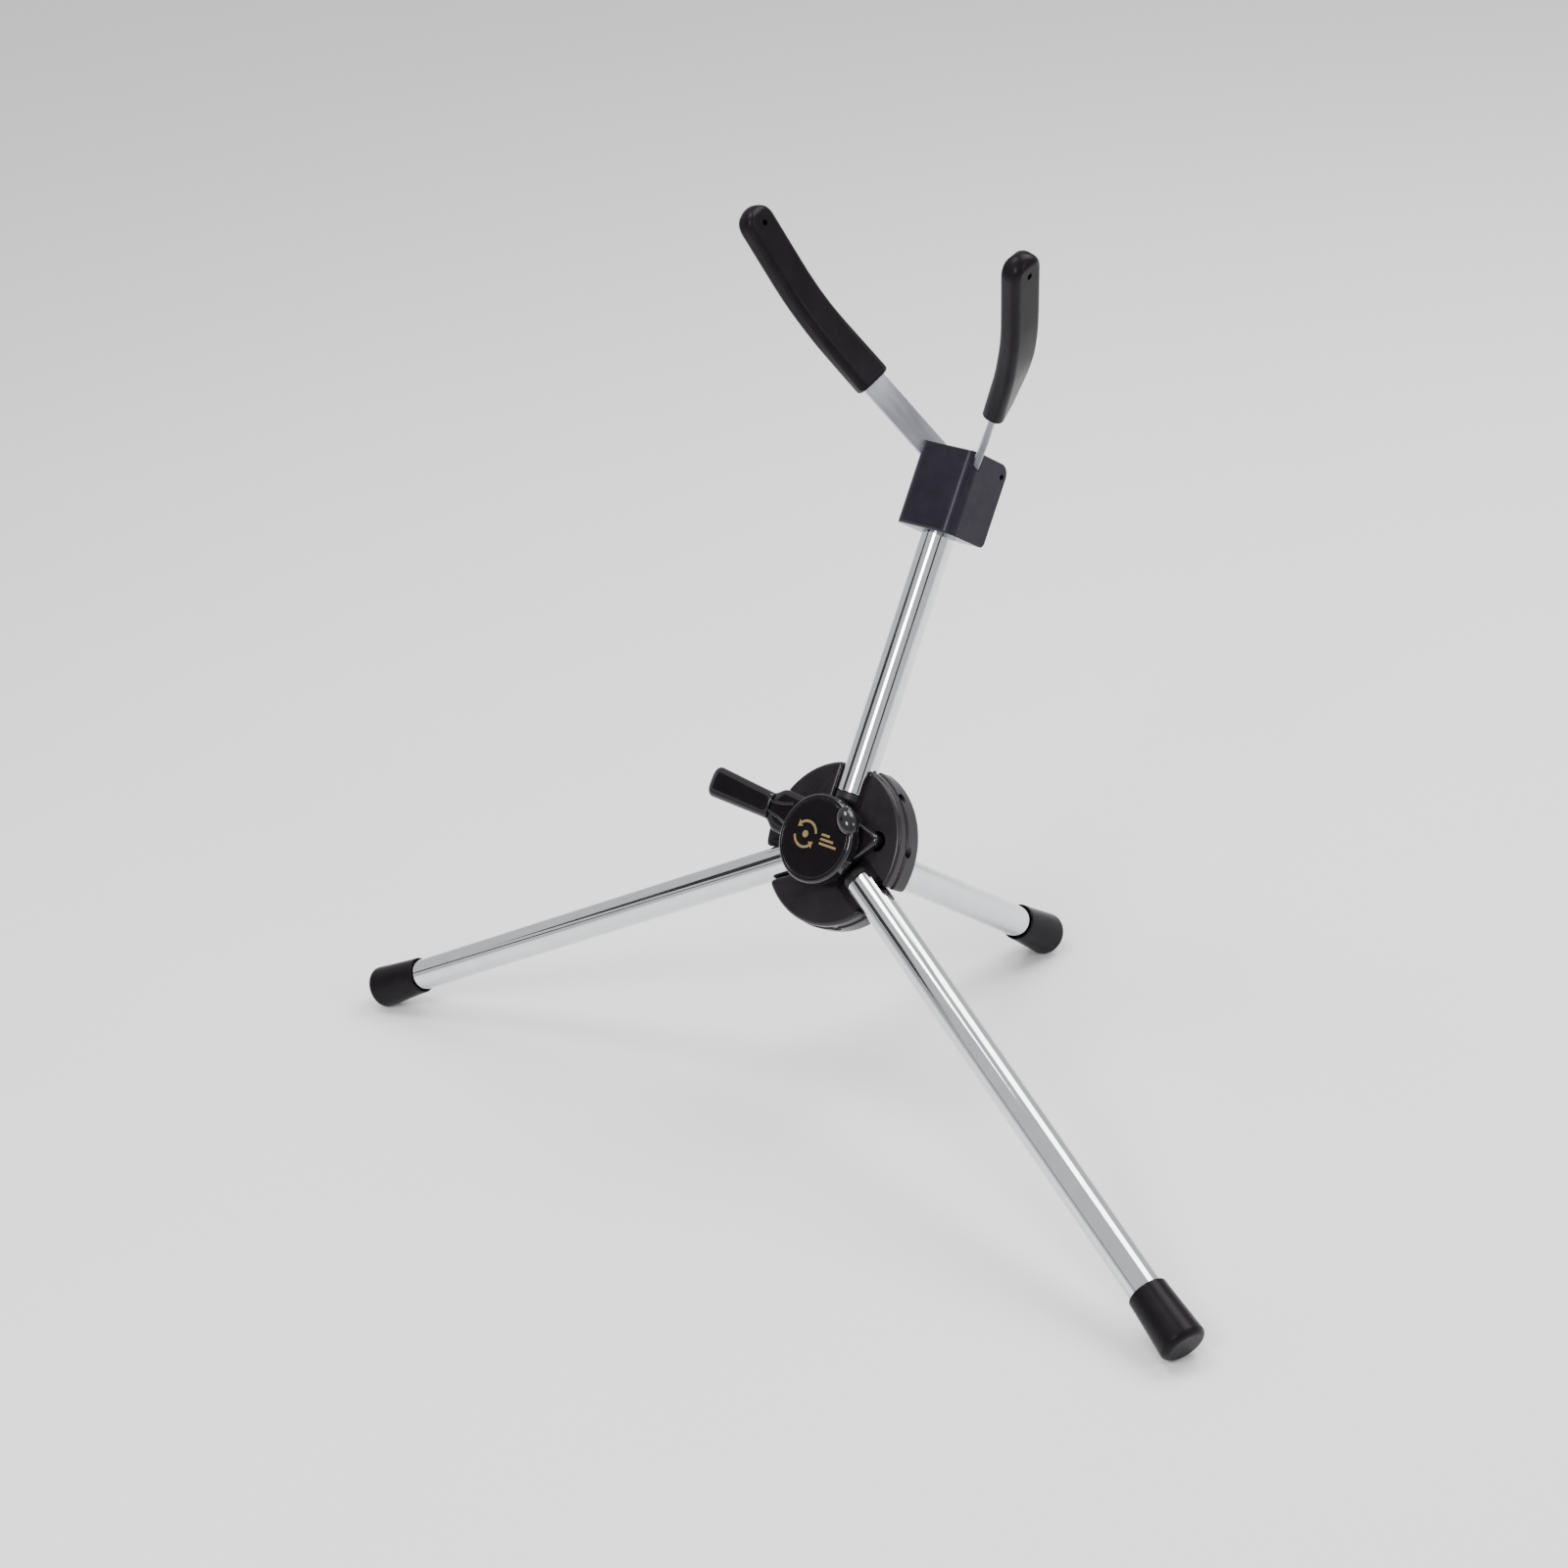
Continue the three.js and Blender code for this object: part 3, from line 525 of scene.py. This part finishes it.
def lobed(radius, root, slot_half, rim=2.4, inner=1.2):
    """A disc with a slot for each tube, as a counter-clockwise outline."""
    corners = []
    reach = math.sqrt(radius * radius - slot_half * slot_half)
    for i, angle in enumerate(sorted(SPOKES.values())):
        place = Matrix.Rotation(angle, 2)
        for x, y, r in ((reach, -slot_half, rim), (root, -slot_half, inner),
                        (root, slot_half, inner), (reach, slot_half, rim)):
            point = place @ Vector((x, y))
            corners.append((point.x, point.y, r))
        start = angle + math.atan2(slot_half, reach)
        end = angle + 2 * math.pi / 3 - math.atan2(slot_half, reach)
        steps = 56
        for k in range(3, steps - 2):
            a = start + (end - start) * k / steps
            corners.append((radius * math.cos(a), radius * math.sin(a), 0))
    return rounded(corners)


def rear_boss():
    """The boss behind the drum that holds the rear tube, with a fillet at its root and a round rim."""
    profile = [(0.2, 6), (BOSS_R + 2.5, 6)]
    profile += [(BOSS_R + 1.5 - r, x) for x, r in arc((13.5, 0), 1.5, 180, 90, 5)]
    profile += [(BOSS_R, 15.5), (BOSS_R - 0.2, BOSS_END - 1)]
    for step in range(1, 7):
        angle = step / 6 * math.pi / 2
        profile.append((BOSS_R - 1 + 0.8 * math.cos(angle), BOSS_END - 1 + math.sin(angle)))
    profile.append((0.2, BOSS_END))
    return turned("boss", profile, REAR)


def drum_bores():
    """The clamp bolt's way, the rear tube's socket and rivet, the tab's pocket and the hinge pins' holes."""
    through = 30
    across = REAR @ shift((REAR_START + BOSS_END) / 2 + 1, 0, 0) @ turn(math.pi / 2, "Z")
    tab = HUB @ shift(TAB["x"], TAB["y"], 0)
    tools = [
        turned("bolt_bore", [(BOLT_BORE_R, -through), (BOLT_BORE_R, through)],
               HUB @ turn(BORE_SPIN, "Z"), along_z, 48),
        turned("socket", [(TUBE_R + GAP, REAR_START - GAP), (TUBE_R + GAP, BOSS_END + 2)], REAR),
        turned("rivet_bore", [(SCREW_BORE_R, -20), (SCREW_BORE_R, 20)],
               across @ turn(BORE_SPIN, "X"), count=40),
        turned("pocket", [(POCKET["r"], POCKET["floor"]), (POCKET["r"], 9)],
               tab @ turn(BORE_SPIN, "Z"), along_z, 72),
    ]
    for name in SPOKES:
        place = spoke(name) @ shift(PIN_RADIUS, 0, PIN_Z) @ turn(math.pi / 2, "Z")
        tools.append(turned("pin_bore", [(PIN_BORE_R, -through), (PIN_BORE_R, through)],
                            place @ turn(BORE_SPIN, "X"), count=32))
    return tools


def drum():
    face_outline = lobed(FACE_R, SLOT_ROOT - SEAM, SLOT_HALF + SEAM)
    back_outline = lobed(DRUM_R - BACK_SEAM["rim"], LEDGE_END, SLOT_HALF + BACK_SEAM["slot"])
    face = raised("drum_moulded", face_outline, STEP - 2, FACE, 0.2, 1.9, HUB, 7)
    middle_outline = lobed(DRUM_R, SLOT_ROOT, SLOT_HALF)
    middle = raised("middle", middle_outline, -SLOT_HALF - DISC_OVERLAP, STEP, 0.3, 0.7, HUB)
    back = raised("back", back_outline, BACK, -SLOT_HALF, 0.9, 0.02, HUB)
    combine(face, [middle, back, rear_boss()], "UNION")
    combine(face, drum_bores(), "DIFFERENCE", weld=WELD)
    finished(face, "hub", "drum_plastic", DRUM, ["hub_body"])


# ---------------------------------------------------------------- clamp and lever knob


def clamp_plate():
    edge = PLATE["edge"]
    profile = [(0.2, FACE + GAP), (PLATE["r"], FACE + GAP)]
    profile += arc((PLATE["r"] - edge, PLATE["top"] - edge), edge, 0, 90, 8) + [(0.2, PLATE["top"])]
    plate = turned("clamp_plate_moulded", profile, HUB, along_z, 120)
    reach = math.hypot(TAB["x"], TAB["y"])
    root = 16.4
    spread = math.degrees(math.asin((root - TAB["r"]) / reach))
    outline = arc((reach, 0), TAB["r"], spread - 90, 90 - spread, 14)
    outline += arc((0, 0), root, 90 - spread, 270 + spread, 30)
    angled = HUB @ turn(math.atan2(TAB["y"], TAB["x"]), "Z")
    tongue = raised("tongue", [Vector(p) for p in outline], FACE + GAP, TAB["top"], 0.3, 1.5, angled)
    peg_profile = [(TAB["r"] - 0.2, TAB["bottom"]), (TAB["r"] - 0.2, TAB["top"] - 2)]
    peg = turned("peg", peg_profile, HUB @ shift(TAB["x"], TAB["y"], 0), along_z, 48)
    combine(plate, [tongue, peg], "UNION")
    soften(plate, 0.4, 6)
    bore = turned("bore", [(BOLT_BORE_R, -9), (BOLT_BORE_R, 19)], HUB, along_z, 48)
    combine(plate, [bore], "DIFFERENCE")
    finished(plate, "clamp", "gloss_plastic", GLOSS, ["clamp_plate"])


def oval(x, half_width, low, high, power=2.6, count=40):
    """A rounded-rectangle section across x, from low to high."""
    ring = []
    for i in range(count):
        a = 2 * math.pi * i / count
        c, s = math.cos(a), math.sin(a)
        y = half_width * math.copysign(abs(c) ** (2 / power), c)
        z = (high - low) / 2 * math.copysign(abs(s) ** (2 / power), s)
        ring.append((x, y, (low + high) / 2 + z))
    return ring


def lever_paddle(place):
    """The grip: widening to a square round end, with a ledge where it starts over the neck."""
    start, end = LEVER["neck"] - 2.5, LEVER["reach"]
    low, high = LEVER["from"], LEVER["top"] + 0.6
    half, flare, ledge, corner = (PADDLE[key] for key in ("half", "flare", "ledge", "corner"))
    rings = []
    for a in range(5):
        x = start + ledge * (1 - math.cos(a * math.pi / 8))
        t = math.sqrt(max(0.0, 1 - ((start + ledge - x) / ledge) ** 2))
        rings.append(oval(x, half - ledge + ledge * t, low + 0.7 - 0.7 * t, high - 0.9 + 0.9 * t))
    for i in range(1, 20):
        t = i / 20
        x = start + ledge + t * (end - start - 5)
        rings.append(oval(x, half + flare * t, low, high + 0.25 * math.sin(math.pi * t), 3.2))
    for i in range(11):
        a = math.radians(88) * i / 10
        x = end - corner + corner * math.sin(a)
        w = half + flare - corner + corner * math.cos(a)
        z = PADDLE["end_fall"] * (1 - math.cos(a))
        rings.append(oval(x, w, low + z, high - z, 3.2))
    return new_object("paddle", *skin(rings), place)


def lever_rib(place, side):
    """A rib on top of the neck, which spreads towards the knob."""
    root, tip = RIB["root"], RIB["tip"]
    rings = []
    for i in range(17):
        x = root + (tip - root) * i / 16
        aside = side * (RIB["aside"] + RIB["spread"] * ((tip - x) / (tip - root)) ** 2)
        ring = oval(x, RIB["half"], LEVER["top"] - 2, LEVER["top"] - 0.1, 2.4, 20)
        rings.append([(px, py + aside, pz) for px, py, pz in ring])
    return new_object("rib", *skin(rings), place)


def lever_neck(place):
    """The neck under the knob: broad shoulders that pinch in to pass under the paddle, and two ribs."""
    start, end = NECK["start"], LEVER["neck"] + 8
    rings = []
    for i in range(41):
        x = start + (end - start) * i / 40
        shoulder = 0.5 - 0.5 * math.tanh((x - NECK["waist"]) / 2.8)
        high = LEVER["top"] - NECK["drop"] + 0.4 * shoulder
        rings.append(oval(x, NECK["half"] + NECK["shoulder"] * shoulder, LEVER["from"], high, 3))
    neck = new_object("neck", *skin(rings), place)
    return [neck, lever_rib(place, -1), lever_rib(place, 1)]


def knob_disc():
    """The knob's cup: a round skirt, a rounded rim, and the seat of its cap round the insert's bore."""
    r, edge = KNOB["r"], KNOB["edge"]
    low, face = KNOB["from"], KNOB["face"]
    inner = CAP["r"] + GAP
    profile = [(6.5, low + 0.4), (6.9, low), (r - 1.3, low)]
    profile += arc((r - 1.2, low + 1.2), 1.2, -80, 0, 6)
    profile += arc((r - edge, face - edge), edge, 0, 90, 10)
    profile += arc((inner + 0.25, face - 0.25), 0.25, 90, 180, 4)
    profile += [(inner, CAP["from"] - GAP), (inner - 1, CAP["from"] - GAP - 0.01), (6.6, CAP["from"] - GAP)]
    return turned("disc", profile, HUB, along_z, 160, closed=True)


def egg(place, margin=0.0, name="egg"):
    """The thumb nub on the knob's rim, or the room that the cap leaves for it."""
    rings = []
    for i in range(25):
        a = math.pi * (0.02 + 0.96 * i / 24)
        r, z = math.sin(a), -math.cos(a)
        ring = along_z(r, 0, 48)
        rings.append([(x * (NUB["across"] + margin), y * (NUB["along"] + margin),
                       z * (NUB["height"] + margin)) for x, y, _ in ring])
    middle = place @ turn(NUB["angle"], "Z") @ shift(NUB["at"], 0, NUB["middle"])
    return new_object(name, *skin(rings), middle)


def knob_mark():
    """A generic mark in gold print: two arcs that end in arrowheads round a dot, beside three bars."""
    z = CAP["to"] + 0.02
    centre = Vector((-6, 0.5))
    radius, half = 6.2, 0.6
    strips = []
    for start in (15, 195):
        outer = arc(centre, radius + half, start, start + 118, 30)
        inner = arc(centre, radius - half, start + 118, start, 30)
        strips.append(outer + inner)
        a = math.radians(start + 118)
        tip = centre + radius * Vector((math.cos(a + 0.42), math.sin(a + 0.42)))
        across = Vector((math.cos(a), math.sin(a)))
        strips.append([tuple(p) for p in (centre + (radius + 1.9) * across, tip,
                                          centre + (radius - 1.9) * across)])
    strips.append(arc(centre, 1.7, 0, 345, 23))
    for y, end in ((-1.6, 14), (0.6, 11.5), (2.8, 8.5)):
        strips.append([(3.5, y - 0.55), (end, y - 0.55), (end, y + 0.55), (3.5, y + 0.55)])
    shapes = []
    for i, outline in enumerate(strips):
        rings = [[(x, y, z + h) for x, y in outline] for h in (0, 0.05)]
        shapes.append(new_object(f"mark_{i}", *skin(rings), HUB))
    mark = merge(*shapes)
    mark.name = "knob_mark"
    finished(mark, "knob", "brass", GOLD, [])


def lever_knob():
    place = HUB @ turn(LEVER["angle"], "Z") @ shift(0, -LEVER["aside"], 0)
    knob = combine(lever_paddle(place), [*lever_neck(place), knob_disc(), egg(HUB)], "UNION", own=True)
    knob.name = "lever_knob_moulded"
    finished(knob, "knob", "gloss_plastic", GLOSS, ["lever_knob"])
    top = CAP["to"]
    profile = [(0.2, CAP["from"]), (CAP["r"] - 0.3, CAP["from"]), (CAP["r"], CAP["from"] + 0.3)]
    profile += arc((CAP["r"] - 0.35, top - 0.35), 0.35, 0, 90, 5)
    profile += [(CAP["r"] * f, top - 0.12 * (1 - f * f)) for f in (0.8, 0.6, 0.4, 0.2)] + [(0.2, top - 0.12)]
    cap = turned("knob_cap_moulded", profile, HUB, along_z, 160)
    combine(cap, [egg(HUB, GAP, "egg_room")], "DIFFERENCE")
    finished(cap, "knob", "gloss_plastic", GLOSS, ["knob_cap"])
    knob_mark()


# ---------------------------------------------------------------- head


def head():
    shell = fine_copy("head_housing", "head_shell_moulded", 0.8)
    finished(shell, "upright", "head_shell", SHELL, ["head_housing"], sharp=40)
    block = fine_copy("head_block", "head_block_moulded", 0.35)
    finished(block, "upright", "nylon", NYLON, ["head_block"], sharp=40)
    screw = fine_copy("head_screw", "head_screw_turned", 0.15)
    finished(screw, "upright", "steel", STEEL, ["head_screw"], sharp=40)


# ---------------------------------------------------------------- arms


def turn_between(start, end, stretch):
    """How much of a turn spread evenly over a stretch falls between two lengths."""
    shared = min(end, stretch["to"]) - max(start, stretch["from"])
    return stretch["angle"] * max(shared, 0) / (stretch["to"] - stretch["from"])


def on_arm(side, length):
    """The frame on an arm's centre line: x along it, y its inner face."""
    steps = max(math.ceil(length / 2), 1)
    step = length / steps
    place = Matrix.Identity(4)
    for i in range(steps):
        twist = -SIGN[side] * turn_between(i * step, (i + 1) * step, TWIST)
        bend = turn_between(i * step, (i + 1) * step, BEND)
        half = Matrix.Translation((step / 2, 0, 0))
        place = place @ half @ turn(twist, "X") @ turn(bend, "Z") @ half
    return place


def arm_ring(side, length, thick, width, edge, steps=6):
    """A rectangle across the arm with round corners, counter-clockwise about x."""
    r = min(edge, 0.48 * thick, 0.48 * width)
    place = on_arm(side, length)
    ring = []
    for corner, (y, z) in enumerate(((1, -1), (1, 1), (-1, 1), (-1, -1))):
        centre = (y * (thick / 2 - r), z * (width / 2 - r))
        start = 90 * (corner - 1)
        ring += [place @ Vector((0, *p)) for p in arc(centre, r, start, start + 90, steps)]
    return ring


def domed(depth, radius):
    """How much of its thickness a bar keeps this far from a tip rounded to a radius."""
    return 1 if depth >= radius else math.sqrt(1 - (1 - depth / radius) ** 2)


def arm_bar(side, start, end, thick, width, edge, low, high, dome=0.0, step=3):
    """Rings of a bar along the arm, rounded in width at both ends and in thickness at its tip."""
    sizes = []
    for angle in range(8, 91, 8):
        a = math.radians(angle)
        sizes.append((start + low * (1 - math.cos(a)), width - 2 * low * (1 - math.sin(a)), thick))
    count = round((end - start - low - high) / step)
    for i in range(1, count):
        sizes.append((start + low + (end - start - low - high) * i / count, width, thick))
    for angle in range(90, 1, -4):
        a = math.radians(angle)
        depth = high * (1 - math.cos(a))
        sizes.append((end - depth, width - 2 * high * (1 - math.sin(a)), thick * domed(depth, dome)))
    return [arm_ring(side, x, t, w, edge) for x, w, t in sizes]


def arm_strip(side):
    half = ARM["width"] / 2
    rings = arm_bar(side, -half, ARM["length"], ARM["thick"], ARM["width"], 0.45, half, half)
    strip = new_object(side + "_strip_pressed", *skin(rings), arm_frame(side))
    bore_profile = [(SCREW_BORE_R, -6), (SCREW_BORE_R, 6)]
    bore = turned("bore", bore_profile, arm_frame(side) @ turn(math.pi / 2, "Z"), count=40)
    combine(strip, [bore], "DIFFERENCE")
    finished(strip, side + "_arm", "steel", STEEL, [side + "_arm_strip"])


def arm_sleeve(side):
    start, end = SLEEVE["from"], SLEEVE["to"]
    width, thick, edge = SLEEVE["width"], SLEEVE["thick"], SLEEVE["edge"]
    room_width, room_thick = ARM["width"] + 2 * GAP, ARM["thick"] + 2 * GAP
    deep = ARM["length"] + GAP
    cavity = arm_bar(side, start + 1.2, deep, room_thick, room_width, 0.6, 0.01, room_width / 2)
    lip = [arm_ring(side, start + 1.2 - 1.2 * math.sin(a), room_thick + g, room_width + g, 0.6 + g / 2)
           for a, g in ((math.radians(40), 0.3), (math.radians(90), 1.1))]
    outer = [arm_ring(side, start + x, thick - 2 * d, width - 2 * d, edge)
             for x, d in ((0.0, 1.3), (0.25, 0.75), (0.7, 0.3), (1.3, 0.0))]
    body = arm_bar(side, start + 2, end, thick, width, edge, 0.3, width / 2, dome=4.4)
    rings = cavity[::-1] + lip + outer + body
    sleeve = new_object(side + "_sleeve_moulded", *skin(rings), arm_frame(side))
    at = end - SLEEVE["hole_from_end"]
    place = on_arm(side, at)
    place.translation *= MM
    hole = turned("hole", [(SLEEVE["hole"], -9), (SLEEVE["hole"], 9)],
                  arm_frame(side) @ place @ turn(math.pi / 2, "Z"), count=40)
    combine(sleeve, [hole], "DIFFERENCE")
    finished(sleeve, side + "_arm", "rubber", RUBBER, [side + "_arm_sleeve"])


def arms():
    for side in ("left", "right"):
        arm_strip(side)
        arm_sleeve(side)


# ---------------------------------------------------------------- nodes that keep their CAD shape


def dress_cad_nodes():
    """Gives every CAD node its slot's finish. The hidden or small ones have no finer piece."""
    finishes = {"chrome": CHROME, "steel": STEEL, "brass": BRASS, "drum_plastic": DRUM,
                "gloss_plastic": GLOSS, "head_shell": SHELL, "nylon": NYLON, "rubber": RUBBER}
    slots = {part["node"]: part["material_slot"] for part in frame["record"]["subparts"]}
    for name, node in frame["nodes"].items():
        node.data.materials.clear()
        node.data.materials.append(finishes[slots[name]])


# ---------------------------------------------------------------- studio


def plain(name, color, roughness):
    made = Finish(name, color, 0, roughness, specular=0.2)
    made.colour(made.noise(400, detail=3), [(0.3, color), (0.7, tuple(c * 0.985 for c in color))])
    return made.material


def studio():
    low, high = (Vector(corner) for corner in cad_box)
    middle = (low + high) / 2
    floor = new_object("floor", [(x * 9e3, y * 9e3, -0.4) for x, y in ((-1, -1), (1, -1), (1, 1), (-1, 1))],
                       [(0, 1, 2, 3)])
    floor.data.materials.append(plain("pale_floor", (0.93, 0.93, 0.93), 0.75))
    world = bpy.data.worlds.new("studio")
    bpy.context.scene.world = world
    world.use_nodes = True
    world.node_tree.nodes["Background"].inputs["Color"].default_value = (0.96, 0.965, 0.98, 1)
    world.node_tree.nodes["Background"].inputs["Strength"].default_value = 0.86
    soft_box("back", middle, 160, 56, 1.7, 1.0, 26)
    soft_box("overhead", middle, -60, 74, 1.6, 0.55, 12)
    soft_box("front", middle, 12, 38, 1.5, 0.4, 11)
    soft_box("side", middle, 100, 26, 1.6, 0.3, 4)
    dark_card("card_left", middle, -46, 25, 1.4, (0.5, 0.52))
    dark_card("card_right", middle, 66, 18, 1.5, (0.24, 1.0))
    dark_card("card_low", middle, -42, 7, 1.6, (1.3, 0.1))
    dark_card("card_back", middle, 200, 24, 1.6, (0.35, 0.9))


def towards(azimuth, elevation):
    """The direction that a camera at this azimuth and elevation stands in. Azimuth 0 looks along +Y."""
    a, e = math.radians(azimuth), math.radians(elevation)
    return Vector((math.sin(a) * math.cos(e), -math.cos(a) * math.cos(e), math.sin(e)))


def facing(place, middle, azimuth, elevation, distance):
    direction = towards(azimuth, elevation)
    place.matrix_world = Matrix.Translation(middle + direction * distance) @ (
        direction.to_track_quat("Z", "Y").to_matrix().to_4x4())


def soft_box(name, middle, azimuth, elevation, distance, size, power):
    light = bpy.data.lights.new(name, "AREA")
    light.shape = "SQUARE"
    light.size = size
    light.energy = power
    lamp = bpy.data.objects.new(name, light)
    bpy.context.scene.collection.objects.link(lamp)
    facing(lamp, middle, azimuth, elevation, distance)


def dark_card(name, middle, azimuth, elevation, distance, size):
    """A card that only reflections see: it draws the dark lines along the chrome."""
    w, h = size[0] * 500, size[1] * 500
    card = new_object(name, [(-w, -h, 0), (w, -h, 0), (w, h, 0), (-w, h, 0)], [(0, 1, 2, 3)])
    card.data.materials.append(plain(name + "_paint", (0.03, 0.03, 0.032), 0.9))
    facing(card, middle, azimuth, elevation, distance)
    for ray in ("visible_camera", "visible_diffuse", "visible_shadow", "visible_transmission"):
        setattr(card, ray, False)


VIEW = {"azimuth": 45.92, "elevation": 27.37, "roll": 6.756, "distance": 1440, "lens": 69.97,
        "aim": (-24.9, 28.66, 0)}


def camera():
    """The camera aims a little beside and below the drum, and is rolled about its own axis."""
    direction = towards(VIEW["azimuth"], VIEW["elevation"])
    level = direction.to_track_quat("Z", "Y").to_matrix()
    rolled = level @ Matrix.Rotation(-math.radians(VIEW["roll"]), 3, "Z")
    aim = HUB.translation + rolled @ (Vector(VIEW["aim"]) * MM)
    data = bpy.data.cameras.new("camera")
    data.lens = VIEW["lens"]
    data.sensor_width = 36
    view = bpy.data.objects.new("camera", data)
    bpy.context.scene.collection.objects.link(view)
    view.matrix_world = Matrix.Translation(aim + direction * VIEW["distance"] * MM) @ rolled.to_4x4()
    bpy.context.scene.camera = view


# ---------------------------------------------------------------- assembly

dress_cad_nodes()
legs()
rear_leg()
drum()
clamp_plate()
lever_knob()
head()
arms()
studio()
camera()
bpy.context.view_layer.update()
